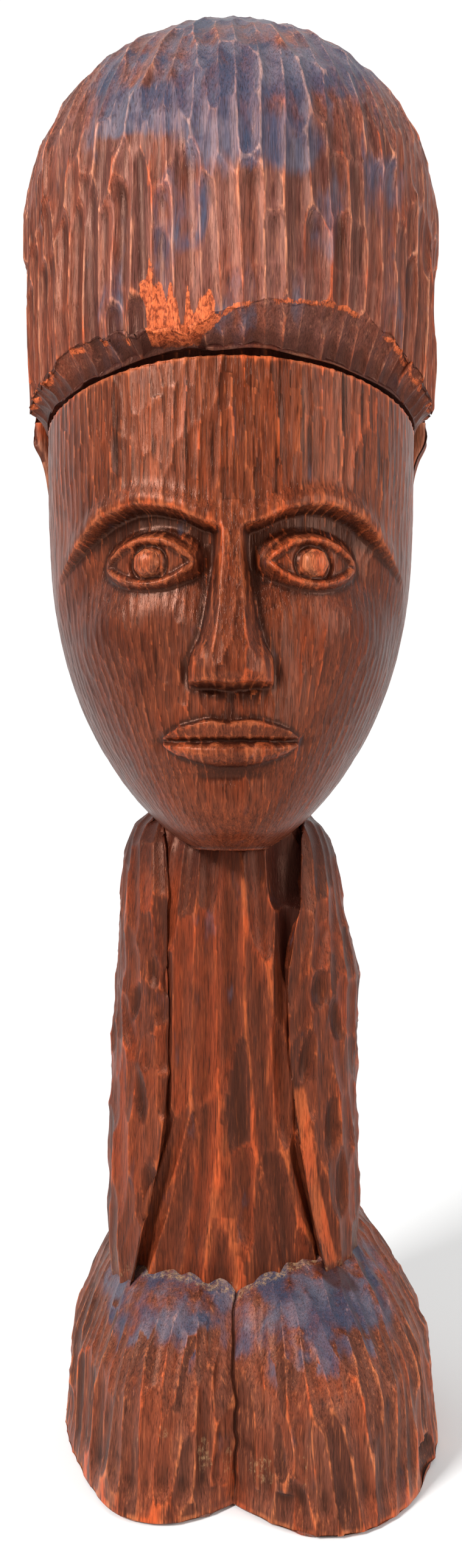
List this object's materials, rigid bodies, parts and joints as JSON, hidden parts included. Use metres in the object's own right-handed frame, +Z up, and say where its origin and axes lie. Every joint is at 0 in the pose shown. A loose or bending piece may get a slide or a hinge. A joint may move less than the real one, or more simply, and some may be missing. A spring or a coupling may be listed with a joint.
{
  "type": "carved ancestor figure",
  "caption": "Kneeling wooden ancestor figure carved from one round log: tall domed hair, long calm face, slim trunk with flat arms, and a rounded lap that it stands on.",
  "frame": {"origin": "centre of the footprint's bounding box, on the flat base the figure stands on", "axes": "+Z up along the log towards the top of the hair; the figure faces -Y; the figure's own left is +X"},
  "size_m": [0.183, 0.183, 0.605],
  "materials": {
    "hair_wood": "gouged, dark red-brown stain with a blue-grey bloom on top, satin varnish",
    "carved_wood": "gouged and chiselled, red-brown stain worn to orange on the ridges, satin varnish",
    "iris_wood": "whittled, red-brown stain rubbed lighter, satin varnish"
  },
  "bodies": {
    "root": {"hair": "hair_wood", "head": "carved_wood", "left_iris": "iris_wood", "right_iris": "iris_wood", "neck": "carved_wood", "torso": "carved_wood", "left_arm": "carved_wood", "right_arm": "carved_wood", "left_thigh": "carved_wood", "right_thigh": "carved_wood", "seat": "carved_wood"}
  },
  "joints": []
}
